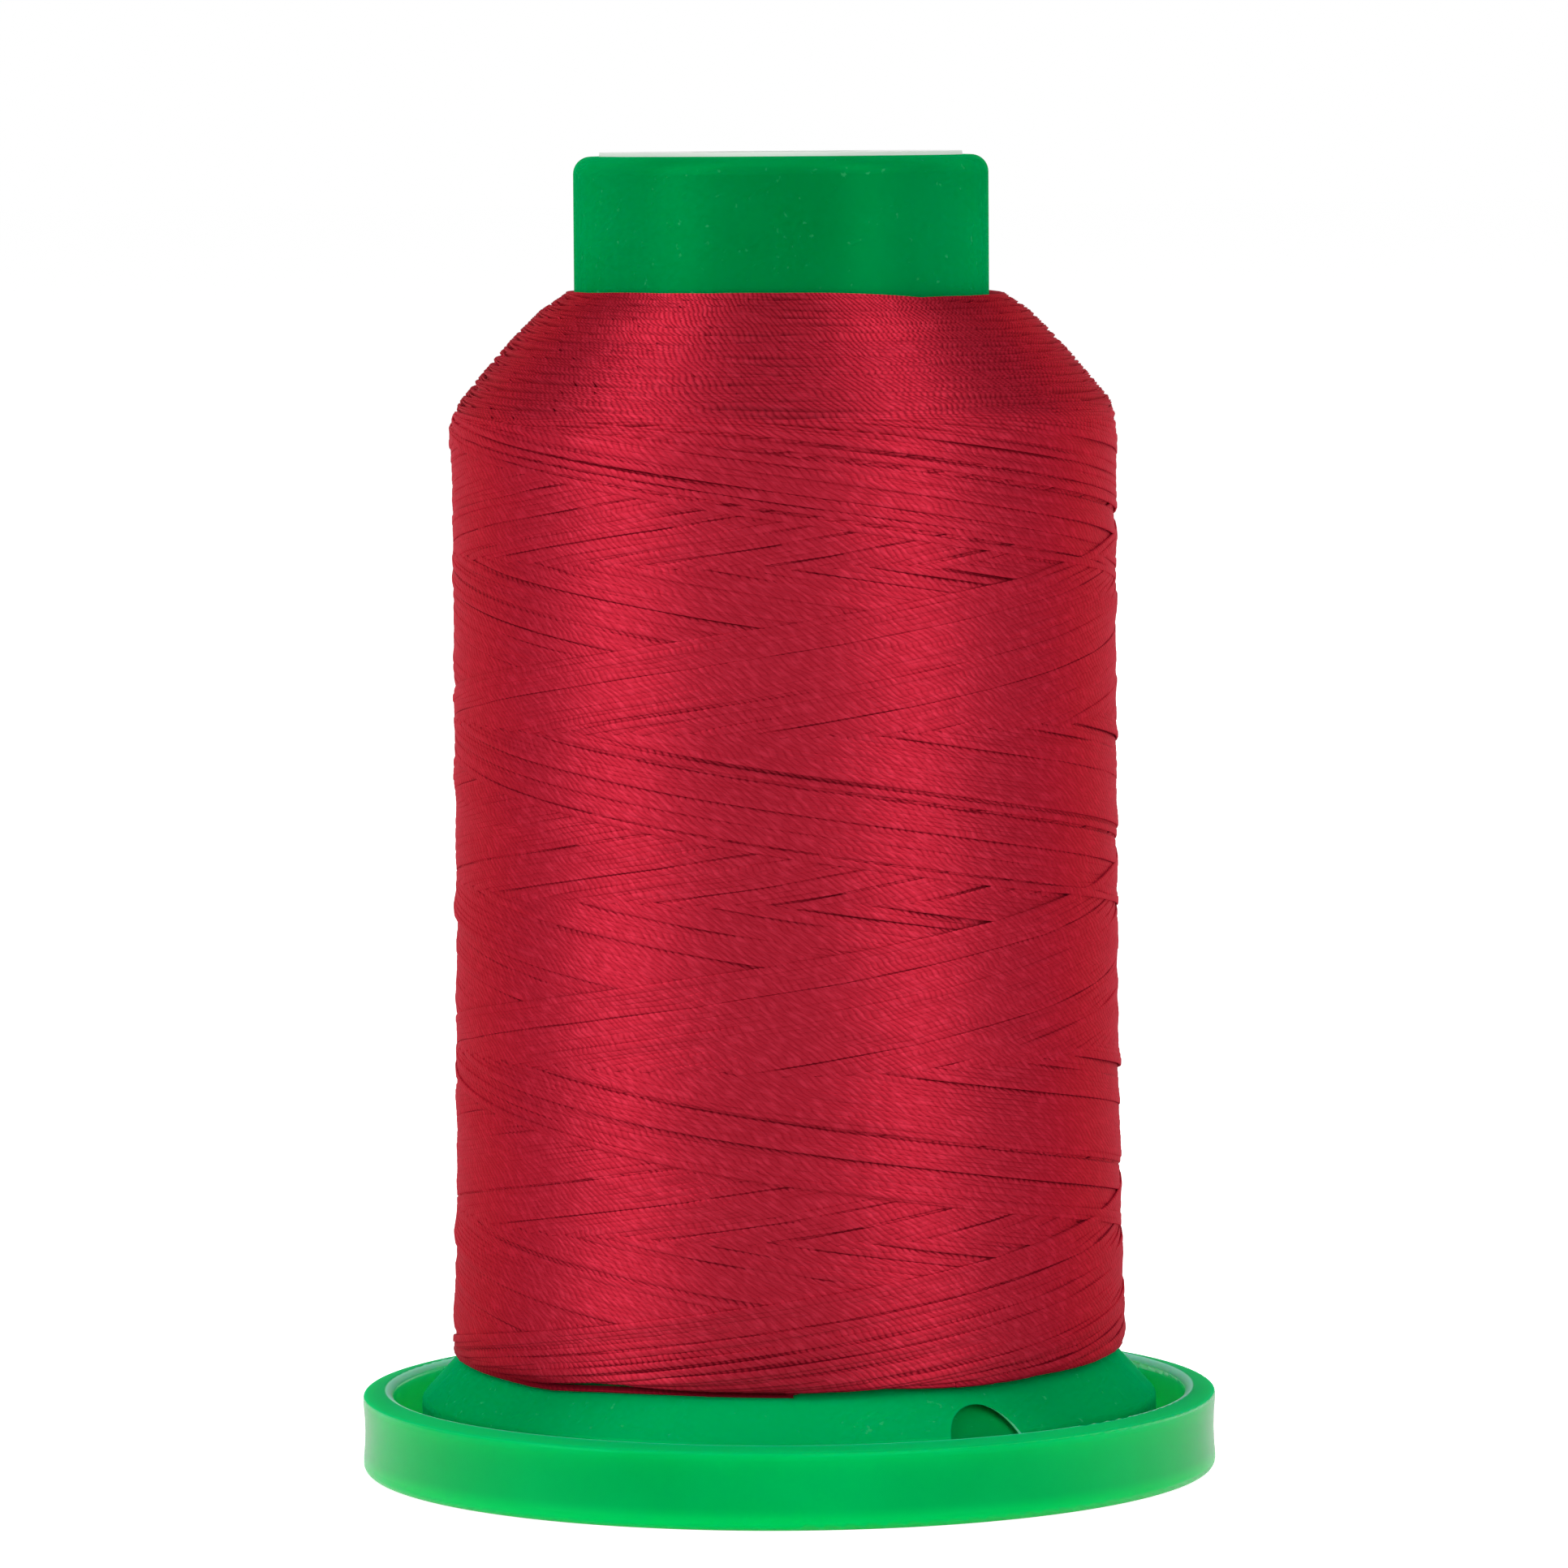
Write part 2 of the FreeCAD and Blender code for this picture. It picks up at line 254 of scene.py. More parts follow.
def add_world():
    """Dim even light, that the camera sees as white."""
    world = bpy.data.worlds.new("studio")
    world.use_nodes = True
    tree = world.node_tree
    tree.nodes.clear()
    light = plain_background(tree, WORLD_LIGHT)
    white = plain_background(tree, 1.0)
    mix = tree.nodes.new("ShaderNodeMixShader")
    out = tree.nodes.new("ShaderNodeOutputWorld")
    tree.links.new(ray_is(tree, "Camera", "Transmission"), mix.inputs[0])
    tree.links.new(light.outputs[0], mix.inputs[1])
    tree.links.new(white.outputs[0], mix.inputs[2])
    tree.links.new(mix.outputs[0], out.inputs[0])
    bpy.context.scene.world = world


def add_floor():
    """Pale floor that the camera sees brighter; what gleams mirrors a share of that."""
    mesh = bpy.data.meshes.new("floor")
    corners = [(x * FLOOR_REACH, y * FLOOR_REACH, 0) for x, y in ((-1, -1), (1, -1), (1, 1), (-1, 1))]
    mesh.from_pydata(corners, [], [(0, 1, 2, 3)])
    floor = bpy.data.objects.new("floor", mesh)
    bpy.context.collection.objects.link(floor)
    material = bpy.data.materials.new("pale_floor")
    material.use_nodes = True
    tree = material.node_tree
    tree.nodes.clear()
    paint = tree.nodes.new("ShaderNodeBsdfDiffuse")
    paint.inputs["Color"].default_value = (FLOOR_PAINT, FLOOR_PAINT, FLOOR_PAINT, 1)
    glow = tree.nodes.new("ShaderNodeEmission")
    mirrored = math_node(tree, "MULTIPLY", ray_is(tree, "Glossy"), FLOOR_MIRRORED)
    shown = math_node(tree, "MAXIMUM", ray_is(tree, "Camera"), mirrored)
    tree.links.new(shown, glow.inputs["Strength"])
    glow.inputs["Color"].default_value = (FLOOR_GLOW, FLOOR_GLOW, FLOOR_GLOW, 1)
    sum_of_both = tree.nodes.new("ShaderNodeAddShader")
    out = tree.nodes.new("ShaderNodeOutputMaterial")
    tree.links.new(paint.outputs[0], sum_of_both.inputs[0])
    tree.links.new(glow.outputs[0], sum_of_both.inputs[1])
    tree.links.new(sum_of_both.outputs[0], out.inputs[0])
    mesh.materials.append(material)


def add_softbox(name, azimuth, elevation, distance, width, height, power):
    """Area light that looks at the middle of the spool."""
    data = bpy.data.lights.new(name, "AREA")
    data.shape = "RECTANGLE"
    data.size = width
    data.size_y = height
    data.energy = power
    light = bpy.data.objects.new(name, data)
    bpy.context.collection.objects.link(light)
    turn, lift = np.radians(azimuth), np.radians(elevation)
    way = Vector((np.sin(turn) * np.cos(lift), -np.cos(turn) * np.cos(lift), np.sin(lift)))
    target = Vector(LIT_POINT)
    light.location = target + way * distance
    light.rotation_euler = (-way).to_track_quat("-Z", "Y").to_euler()
    light.visible_camera = False


def add_lights():
    for softbox in SOFTBOXES:
        add_softbox(*softbox)


# Winding
def blurred(values, width):
    """Moving average with a soft window, whose ends keep their place."""
    window = np.hanning(width)
    window /= window.sum()
    pad = width // 2
    before = 2 * values[0] - values[pad:0:-1]
    after = 2 * values[-1] - values[-2:-pad - 2:-1]
    return np.convolve(np.r_[before, values, after], window, mode="valid")


def windowed(field, width, axis):
    """Mean over a window along one axis; the turn wraps round, the rise ends."""
    pads = [(0, 0), (0, 0)]
    pads[axis] = (width // 2 + 1, width // 2)
    mode = "wrap" if axis == 0 else "edge"
    total = np.cumsum(np.pad(field, pads, mode=mode), axis=axis)
    count = field.shape[axis]
    upper = np.take(total, np.arange(width, width + count), axis=axis)
    return (upper - np.take(total, np.arange(count), axis=axis)) / width


class WoundSurface:
    """Outline of the wound surface against the rise: length along it, equal to the height at mid-height."""

    def __init__(self, corners):
        corners = np.array(corners)
        lengths = np.r_[0, np.cumsum(np.hypot(*np.diff(corners, axis=0).T))]
        fine = np.linspace(0, lengths[-1], OUTLINE_STEPS)
        radius = blurred(np.interp(fine, lengths, corners[:, 0]), OUTLINE_BLUR)
        height = blurred(np.interp(fine, lengths, corners[:, 1]), OUTLINE_BLUR)
        self.rise = fine + MID_HEIGHT - np.interp(MID_HEIGHT, height, fine)
        self.radius = radius
        self.height = height
        along_r = np.gradient(radius, self.rise)
        along_z = np.gradient(height, self.rise)
        size = np.hypot(along_r, along_z)
        self.out_r = along_z / size
        self.out_z = -along_r / size
        self.low = self.rise[0]
        self.high = self.rise[-1]

    def at(self, rise):
        """Radius, height and outward direction at a rise."""
        return [np.interp(rise, self.rise, v) for v in (self.radius, self.height, self.out_r, self.out_z)]


class Winding:
    """Height field over turn and rise. Each length of thread settles on it, is drawn taut and stays."""

    def __init__(self, surface):
        self.surface = surface
        self.low = surface.low - FIELD_MARGIN
        self.rows = int((surface.high + FIELD_MARGIN - self.low) / CELL)
        self.height = np.full((COLUMNS, self.rows), DEEP)
        self.stamp_rows, self.stamp = self.section(THREAD_HALF_WIDTH, THREAD_BLUNTNESS)
        self.touch_rows, self.touch = self.section(CONTACT_HALF_WIDTH, CONTACT_BLUNTNESS)

    def section(self, half_width, bluntness):
        """Rows across a thread, and its height over each."""
        reach = int(half_width / CELL)
        rows = np.arange(-reach, reach + 1)
        across = np.abs(rows * CELL / half_width)
        return rows, THREAD_HALF_HEIGHT * np.sqrt(np.clip(1 - across ** bluntness, 0, 1))

    def cells(self, rise):
        """Cell at a rise, and how far the rise is on the way to the next."""
        place = np.clip((rise - self.low) / CELL, EDGE_CELLS, self.rows - EDGE_CELLS - 1)
        row = place.astype(int)
        return row, place - row

    def read(self, field, turn, rise):
        """Value of a field of cells at a turn and a rise."""
        columns = np.round(turn * COLUMNS).astype(int) % COLUMNS
        row, part = self.cells(rise)
        return field[columns, row] * (1 - part) + field[columns, row + 1] * part

    def support(self, columns, rise):
        """Level at which a thread touches what is under it."""
        row, part = self.cells(rise)
        rows = row[:, None] + self.touch_rows
        lower = self.height[columns[:, None], rows]
        upper = self.height[columns[:, None], rows + 1]
        return (lower + (upper - lower) * part[:, None] + self.touch).max(axis=1)

    def settle(self, columns, rise, slip):
        """The thread slips down the slope of what is under it, by slip at the most."""
        window = np.hanning(SETTLE_BLUR)
        window /= window.sum()
        moved = np.zeros_like(rise)
        for _ in range(SETTLE_ROUNDS):
            above = self.support(columns, rise + moved + SETTLE_PROBE)
            below = self.support(columns, rise + moved - SETTLE_PROBE)
            push = np.convolve((below - above) / (2 * SETTLE_PROBE), window, mode="same")
            moved = np.clip(moved + slip * SETTLE_RATE * push, -slip, slip)
        return rise + moved

    def taut(self, level, radius):
        """The thread bridges each hollow, as far as its curve round the spool lets it."""
        for _ in range(TAUT_ROUNDS):
            for span in TAUT_SPANS:
                drop = radius * (span * TURN / COLUMNS) ** 2 / 2
                chord = (level[:-2 * span] + level[2 * span:]) / 2 - drop
                level[span:-span] = np.maximum(level[span:-span], chord)
        return level

    def lay(self, turn, rise, slip=SLIP, radius=SIDE_RADIUS, floor=DEEP):
        """Lays one length of thread; its turn, rise and level along it."""
        columns = np.round(turn * COLUMNS).astype(int) % COLUMNS
        rise = self.settle(columns, rise, slip)
        level = np.maximum(self.support(columns, rise), floor)
        level = blurred(self.taut(level, radius), LEVEL_BLUR)
        row, _ = self.cells(rise)
        rows = row[:, None] + self.stamp_rows
        top = level[:, None] + self.stamp
        place = (columns[:, None], rows)
        self.height[place] = np.maximum(self.height[place], top)
        return turn, rise, level


def lanes(gaps, count, rng):
    """Distance of each stroke of one direction from the newest one."""
    pitch = (LEAD - sum(width for _, width in gaps)) / STROKES_PER_LAYER
    places = [0.0]
    while len(places) < count:
        step = pitch * (1 + LANE_UNEVENNESS * rng.normal())
        here = places[-1] % LEAD
        step += sum(width for where, width in gaps if here < where <= here + step)
        places.append(places[-1] + step)
    return np.array(places)


def nearest_turn(value, target):
    """The value moved by whole turns to be nearest to the target."""
    return value + np.round(target - value)


def lay_shoulder(winding, rng):
    """The reversals of all the earlier layers, from the collar down to the shoulder's edge."""
    top = winding.surface.high - TOP_MARGIN
    count = int((top - EDGE_RISE) / LAYER_STEP * ARCS_PER_LAYER)
    tracks = []
    for left in range(count, 0, -1):
        apex = EDGE_RISE + LAYER_STEP * left / ARCS_PER_LAYER + ARC_SPREAD * rng.normal()
        apex = min(apex, top)
        middle = left / ARCS_PER_LAYER + ARC_TURN_SPREAD * rng.normal()
        steps = int(ARC_REACH * COLUMNS)
        turn = middle + np.arange(-steps, steps + 1) / COLUMNS
        rise = apex + ARC_ROUNDING - np.hypot(LEAD * (turn - middle), ARC_ROUNDING)
        sunk = ARC_SINK * (rise - apex)
        tracks.append(winding.lay(turn, rise, radius=ARC_RADIUS, floor=sunk))
    edge = int((EDGE_RISE - winding.low) / CELL)
    side = winding.height[:, :edge]
    np.maximum(side, np.median(winding.height[:, edge]) - SIDE_UNDER_EDGE, out=side)
    return tracks


def lay_side(winding, rng):
    """The last strokes up and down the side, each beside the one before; the last one down is the tail."""
    up = lanes(GAPS_UP, STROKES, rng)
    down = lanes(GAPS_DOWN, STROKES, rng)
    up_turn = (up - NEWEST_UP) / LEAD
    down_turn = (down + NEWEST_DOWN) / LEAD
    tracks = []
    low = None
    for age in range(STROKES - 1, -1, -1):
        rising = up_turn[age]
        falling = nearest_turn(down_turn[age], rising + 2 * TOP_CROSSING / LEAD)
        top_turn = (rising + falling) / 2
        top_rise = LEAD * (falling - rising) / 2
        top = (top_turn, top_rise, TOP_ROUNDING + abs(rng.normal(0, TOP_ROUNDING_SPREAD)))
        if low is None:
            low = (rising + LOW_CROSSING / LEAD, LOW_CROSSING, LOW_ROUNDING)
        low = (nearest_turn(low[0], rising + LOW_CROSSING / LEAD), *low[1:])
        tracks.append(stroke(winding, low[0], top[0], low, top))
        if age == 0:
            break
        next_rising = nearest_turn(up_turn[age - 1], falling - 2 * LOW_CROSSING / LEAD)
        low_turn = (falling + next_rising) / 2
        low_rise = LEAD * (falling - next_rising) / 2
        low = (low_turn, low_rise, LOW_ROUNDING + abs(rng.normal(0, LOW_ROUNDING_SPREAD)))
        tracks.append(stroke(winding, top[0], low[0], low, top))
    return tracks


def stroke(winding, start, end, low, top):
    """One stroke between its rounded reversals, each given by its turn, rise and rounding."""
    low_turn, low_rise, low_round = low
    top_turn, top_rise, top_round = top
    steps = int((end - start) * COLUMNS) + STROKE_OVERLAP
    turn = start + np.arange(steps) / COLUMNS
    from_top = top_rise - np.hypot(LEAD * (turn - top_turn), top_round)
    from_low = low_rise + np.hypot(LEAD * (turn - low_turn), low_round)
    near_top = np.abs(turn - top_turn) < np.abs(turn - low_turn)
    return winding.lay(turn, np.where(near_top, from_top, from_low))


def lay_tail(winding):
    """The loose last stroke, which hardly touches what it crosses."""
    track = np.array(TAIL_TRACK)
    turn = np.arange(int(track[0, 0] * COLUMNS), int(track[-1, 0] * COLUMNS)) / COLUMNS
    height = blurred(np.interp(turn, track[:, 0], track[:, 1]), TAIL_BLUR)
    rise = np.interp(height, winding.surface.height, winding.surface.rise)
    return winding.lay(turn, rise, slip=TAIL_SLIP)


def frayed_end(end, rng):
    """Fine fibres that spread from the thread's cut end; points in metres."""
    fibres = []
    share = np.linspace(0, 1, FIBRE_POINTS)[:, None]
    for _ in range(FIBRES):
        start = end + np.array(FIBRE_START) * MM + rng.normal(0, FIBRE_SPREAD, 3) * MM
        way = np.array([rng.uniform(*limits) for limits in FIBRE_WAY])
        curl = rng.normal(0, FIBRE_CURL, 3)
        length = FIBRE_REACH * rng.uniform(*FIBRE_LENGTHS) * MM
        points = start + (way * share + curl * share ** 2) * length
        fibres.append((points, np.zeros(FIBRE_POINTS)))
    return fibres


def strand_points(winding, mean, track, off_axis):
    """Points in metres along a laid thread, and the tilt of its section."""
    turn, rise, level = track
    radius, height, out_r, out_z = winding.surface.at(rise)
    share = np.interp(rise, *np.array(SQUEEZE).T)
    proud = share * (level - winding.read(mean, turn, rise))
    radius = radius + proud * out_r
    height = height + proud * out_z
    angle = turn * TURN
    points = np.stack([radius * np.sin(angle) + off_axis, -radius * np.cos(angle), height], axis=1) * MM
    tilt = np.arctan2(out_z, out_r)
    kept = np.r_[np.arange(0, len(points) - 1, POINT_EVERY), len(points) - 1]
    return points[kept], tilt[kept]


def mean_field(winding):
    """The field without its threads and small steps, which the measured outline stands for."""
    row = np.arange(winding.rows)
    laid = winding.height > LAID_OVER
    covered = laid.mean(axis=0) > COVERED
    level = np.where(laid, winding.height, 0).mean(axis=0)
    level = blurred(np.interp(row, row[covered], level[covered]), MEAN_BLUR)
    rest = np.where(covered, winding.height - level, 0)
    for _ in range(MEAN_ROUNDS):
        rest = windowed(windowed(rest, MEAN_COLUMNS, 0), MEAN_ROWS, 1)
    return rest + level


def shut_field(winding):
    """How far each cell of the field is shut in by what stands above and below it, from 0 to 1."""
    field = winding.height
    total = np.zeros_like(field)
    for way in (-1, 1):
        slope = np.zeros_like(field)
        for step in range(1, SHUT_CELLS + 1):
            beside = np.roll(field, way * step, axis=1)
            slope = np.maximum(slope, (beside - field) / (step * CELL))
        total += np.arctan(slope) / np.pi
    return total


def point_values(mesh, name):
    """Places or normals of a mesh's points, by the name co or normal."""
    values = np.empty(len(mesh.vertices) * 3)
    mesh.vertices.foreach_get(name, values)
    return values.reshape(-1, 3)


def keep_shut(piece, winding, shut):
    """Keeps on each point of a thread how far it is shut in, for the painted shade in the material."""
    x, y, height = point_values(piece.data, "co").T / MM
    rise = np.interp(height, winding.surface.height, winding.surface.rise)
    value = winding.read(shut, np.arctan2(x, -y) / TURN, rise)
    piece.data.attributes.new("shut", "FLOAT", "POINT").data.foreach_set("value", value)


def calm(piece, surface):
    """Normals of flat overlapping arcs: those of the wound surface, with a bulge across each arc."""
    mesh = piece.data
    across = np.empty(len(mesh.vertices))
    mesh.attributes["across"].data.foreach_get("value", across)
    normals = point_values(mesh, "normal")
    x, y, height = point_values(mesh, "co").T / MM
    _, _, out_r, out_z = surface.at(np.interp(height, surface.height, surface.rise))
    radius = np.hypot(x, y)
    outward = np.stack([out_r * x / radius, out_r * y / radius, out_z], axis=1)
    upward = np.stack([-out_z * x / radius, -out_z * y / radius, out_r], axis=1)
    facing = np.where((normals * outward).sum(axis=1) > UNDERSIDE, 1.0, -1.0)
    side = np.sign((normals * upward).sum(axis=1)) * np.abs(across)
    calmed = outward * facing[:, None] + upward * (ARC_BULGE * side)[:, None]
    calmed /= np.linalg.norm(calmed, axis=1)[:, None]
    mesh.normals_split_custom_set_from_vertices(calmed.tolist())


# Thread pieces
def thread_section(tree, given):
    """Section of the thread, with each point's place across it kept as an attribute."""
    new, link = tree.nodes.new, tree.links.new
    circle = new("GeometryNodeCurvePrimitiveCircle")
    circle.inputs["Radius"].default_value = 1.0
    link(given.outputs["Sides"], circle.inputs["Resolution"])
    place, split = new("GeometryNodeInputPosition"), new("ShaderNodeSeparateXYZ")
    link(place.outputs[0], split.inputs[0])
    across = new("GeometryNodeStoreNamedAttribute")
    across.data_type = "FLOAT"
    across.domain = "POINT"
    across.inputs["Name"].default_value = "across"
    link(circle.outputs["Curve"], across.inputs["Geometry"])
    link(split.outputs["Y"], across.inputs["Value"])
    size = new("ShaderNodeCombineXYZ")
    for axis, half in (("X", "Half height"), ("Y", "Half width")):
        side = split.outputs[axis]
        blunt = math_node(tree, "POWER", math_node(tree, "ABSOLUTE", side), given.outputs["Roundness"])
        blunt = math_node(tree, "MULTIPLY", blunt, math_node(tree, "SIGN", side))
        link(math_node(tree, "MULTIPLY", given.outputs[half], blunt), size.inputs[axis])
    section = new("GeometryNodeSetPosition")
    link(across.outputs[0], section.inputs["Geometry"])
    link(size.outputs[0], section.inputs["Position"])
    return section.outputs[0]


def thread_tree(material):
    """Tree that turns a path into a thread."""
    tree = bpy.data.node_groups.new("wound_thread", "GeometryNodeTree")
    face = tree.interface
    face.new_socket("Path", in_out="INPUT", socket_type="NodeSocketGeometry")
    for name in ("Half width", "Half height", "Roundness"):
        face.new_socket(name, in_out="INPUT", socket_type="NodeSocketFloat")
    face.new_socket("Sides", in_out="INPUT", socket_type="NodeSocketInt")
    face.new_socket("Thread", in_out="OUTPUT", socket_type="NodeSocketGeometry")
    new, link = tree.nodes.new, tree.links.new
    given, out = new("NodeGroupInput"), new("NodeGroupOutput")
    upright = new("GeometryNodeSetCurveNormal")
    upright.mode = "Z_UP"
    link(given.outputs["Path"], upright.inputs["Curve"])
    tube = new("GeometryNodeCurveToMesh")
    link(upright.outputs["Curve"], tube.inputs["Curve"])
    link(thread_section(tree, given), tube.inputs["Profile Curve"])
    tube.inputs["Fill Caps"].default_value = True
    smooth = new("GeometryNodeSetShadeSmooth")
    link(tube.outputs[0], smooth.inputs["Geometry"])
    real = new("GeometryNodeRealizeInstances")
    link(smooth.outputs[0], real.inputs[0])
    finish = new("GeometryNodeSetMaterial")
    finish.inputs["Material"].default_value = material
    link(real.outputs[0], finish.inputs["Geometry"])
    link(finish.outputs[0], out.inputs[0])
    return tree


def thread_piece(name, strands, tree, half_width, half_height, roundness):
    """Plain mesh of all the strands, with the thread's section."""
    curve = bpy.data.curves.new(name + "_path", "CURVE")
    curve.dimensions = "3D"
    for points, tilt in strands:
        spline = curve.splines.new("POLY")
        spline.points.add(len(points) - 1)
        spline.points.foreach_set("co", np.c_[points, np.ones(len(points))].ravel())
        spline.points.foreach_set("tilt", tilt)
    path = bpy.data.objects.new(name + "_path", curve)
    bpy.context.collection.objects.link(path)
    modifier = path.modifiers.new("thread", "NODES")
    modifier.node_group = tree
    sizes = {
        "Half width": half_width * MM,
        "Half height": half_height * MM,
        "Roundness": roundness,
        "Sides": THREAD_SIDES,
    }
    for socket in tree.interface.items_tree:
        if socket.name in sizes:
            modifier[socket.identifier] = sizes[socket.name]
    deps = bpy.context.evaluated_depsgraph_get()
    mesh = bpy.data.meshes.new_from_object(path.evaluated_get(deps), depsgraph=deps)
    path.modifiers.remove(modifier)
    bpy.data.objects.remove(path)
    mesh.name = name
    piece = bpy.data.objects.new(name, mesh)
    bpy.context.collection.objects.link(piece)
    return piece


def turned_mesh(name, outline, steps):
    """Closed ring turned from a closed outline of radius and height in millimetres, counter-clockwise."""
    outline = np.array(outline) * MM
    angle = np.arange(steps) / steps * TURN
    radius, height = outline[:, 0], outline[:, 1]
    count = len(outline)
    points = np.stack([
        np.outer(np.cos(angle), radius),
        np.outer(np.sin(angle), radius),
        np.broadcast_to(height, (steps, count)),
    ], axis=2).reshape(-1, 3)
    ring, place = np.meshgrid(np.arange(steps), np.arange(count), indexing="ij")
    here = ring * count + place
    right = (ring + 1) % steps * count + place
    up = ring * count + (place + 1) % count
    across = (ring + 1) % steps * count + (place + 1) % count
    faces = np.stack([here, right, across, up], axis=2).reshape(-1, 4)
    mesh = bpy.data.meshes.new(name)
    mesh.from_pydata(points.tolist(), [], faces.tolist())
    mesh.shade_smooth()
    piece = bpy.data.objects.new(name, mesh)
    bpy.context.collection.objects.link(piece)
    return piece


def just_over_foot(radius):
    """Height just over the foot's cone at a radius."""
    return FOOT_EDGE_HEIGHT + (FOOT_RADIUS - radius) * FOOT_SLOPE + BODY_OFF_FOOT


def thread_body(surface):
    """The wound body under the threads that are laid one by one."""
    rise = np.linspace(surface.low + BODY_OFF_LOW, surface.high - BODY_OFF_TOP, BODY_ROWS)
    radius, height, out_r, out_z = surface.at(rise)
    radius = radius - BODY_DEPTH * out_r
    height = height - BODY_DEPTH * out_z
    height[0] = max(height[0], just_over_foot(radius[0]))
    outline = [(CORE_RADIUS, just_over_foot(CORE_RADIUS)), *zip(radius, height), (CORE_RADIUS, height[-1])]
    return turned_mesh("thread_body", outline, BODY_COLUMNS)


# Materials
def principled(name, tone, values):
    """Material with a tone, and values by the names of their sockets."""
    material = bpy.data.materials.new(name)
    material.use_nodes = True
    tree = material.node_tree
    shader = tree.nodes["Principled BSDF"]
    shader.inputs["Base Color"].default_value = srgb(*tone)
    for socket, value in values.items():
        shader.inputs[socket].default_value = value
    return material, tree, shader


def object_place(tree):
    """Object coordinates, whole and split."""
    place = tree.nodes.new("ShaderNodeTexCoord").outputs["Object"]
    split = tree.nodes.new("ShaderNodeSeparateXYZ")
    tree.links.new(place, split.inputs[0])
    return place, split


def from_axis(tree, split):
    """Distance from the spool's axis."""
    x, y = split.outputs["X"], split.outputs["Y"]
    square = math_node(tree, "MULTIPLY_ADD", y, y, math_node(tree, "MULTIPLY", x, x))
    return math_node(tree, "SQRT", square)


def joined(tree, x, y):
    """Flat vector of two sockets."""
    join = tree.nodes.new("ShaderNodeCombineXYZ")
    tree.links.new(x, join.inputs["X"])
    tree.links.new(y, join.inputs["Y"])
    return join.outputs[0]


def noise(tree, place, scale, detail):
    texture = tree.nodes.new("ShaderNodeTexNoise")
    texture.inputs["Scale"].default_value = scale
    texture.inputs["Detail"].default_value = detail
    tree.links.new(place, texture.inputs["Vector"])
    return texture.outputs["Fac"]


def stepped(tree, value, limits, below, above, soft):
    """Step between two values, from one limit to the other."""
    step = tree.nodes.new("ShaderNodeMapRange")
    if soft:
        step.interpolation_type = "SMOOTHSTEP"
    step.inputs["From Min"].default_value = limits[0]
    step.inputs["From Max"].default_value = limits[1]
    step.inputs["To Min"].default_value = below
    step.inputs["To Max"].default_value = above
    tree.links.new(value, step.inputs["Value"])
    return step.outputs["Result"]


def up_to(tree, place, limits):
    """1 below the limits, in millimetres, and 0 above them."""
    low, high = limits
    return stepped(tree, place, (low * MM, high * MM), 1.0, 0.0, soft=True)


def past(tree, place, limits):
    """0 below the limits, in millimetres, and 1 above them."""
    return math_node(tree, "SUBTRACT", 1.0, up_to(tree, place, limits))


def overlap(tree, first, second):
    return math_node(tree, "MULTIPLY", first, second)


def tone_mix(tree, share, first, second):
    """Colour between two, each a socket or a fixed tone."""
    mix = tree.nodes.new("ShaderNodeMix")
    mix.data_type = "RGBA"
    tree.links.new(share, mix.inputs["Factor"])
    for name, tone in (("A", first), ("B", second)):
        socket = [s for s in mix.inputs if s.name == name and s.type == "RGBA"][0]
        if hasattr(tone, "is_linked"):
            tree.links.new(tone, socket)
        else:
            socket.default_value = srgb(*tone)
    return [s for s in mix.outputs if s.type == "RGBA"][0]


def two_tone(tree, value, limits, dark, light):
    """Ramp from a dark tone at the lower limit to a light one at the upper."""
    ramp = tree.nodes.new("ShaderNodeValToRGB")
    for element, position, tone in zip(ramp.color_ramp.elements, limits, (dark, light)):
        element.position = position
        element.color = srgb(*tone)
    tree.links.new(value, ramp.inputs[0])
    return ramp.outputs[0]


def relief(tree, shader, height, strength, depth):
    """Bump of a depth in millimetres."""
    bump = tree.nodes.new("ShaderNodeBump")
    bump.inputs["Strength"].default_value = strength
    bump.inputs["Distance"].default_value = depth * MM
    tree.links.new(height, bump.inputs["Height"])
    tree.links.new(bump.outputs[0], shader.inputs["Normal"])


# Ply marks: length in millimetres, lean, how far they wander and how fast
PLY_LENGTH = 0.37
PLY_LEAN = 1.2
PLY_WANDER = 2.4
WANDER_ROUND = 250.0
WANDER_UP = 1300.0
PLY_DEPTH = 0.011
PLY_RAMP = (0.1, 0.7)

# Thread tones on the side and on the slack shoulder, and how high up the side's reach
THREAD_DARK = (168, 29, 47)
THREAD_LIGHT = (184, 37, 56)
SLACK_DARK = (146, 23, 40)
SLACK_LIGHT = (198, 42, 62)
SIDE_UP_TO = (53.5, 55.0)

# Painted glints: lighter streaks painted into the thread's tone as highlights, which lean with the ply
# marks
GLINT = (232, 62, 88)
GLINTS_ACROSS = 3200.0
GLINTS_ALONG = 1800.0
GLINT_LIMITS = (0.48, 0.7)
GLINT_SHARE = 0.33

# Painted shade: a dark tone painted where a thread is shut in, in the gaps, broken by the ply marks, and
# painted shade at the foot
GAP_SHADE = (122, 14, 30)
GAP_LIMITS = (0.28, 0.62)
GAP_DASHES = 0.3
GAPS_UP_TO = (53.0, 55.0)
SHADE_UP_TO = (6.0, 6.8)

THREAD_LUSTRE = {
    "Roughness": 0.5,
    "Metallic": 0.64,
    "Anisotropic": 0.7,
    "Specular IOR Level": 0.04,
    "Specular Tint": (0.6, 0.0, 0.03, 1),
    "Sheen Weight": 0.8,
    "Sheen Roughness": 0.4,
    "Sheen Tint": (0.9, 0.02, 0.075, 1),
}


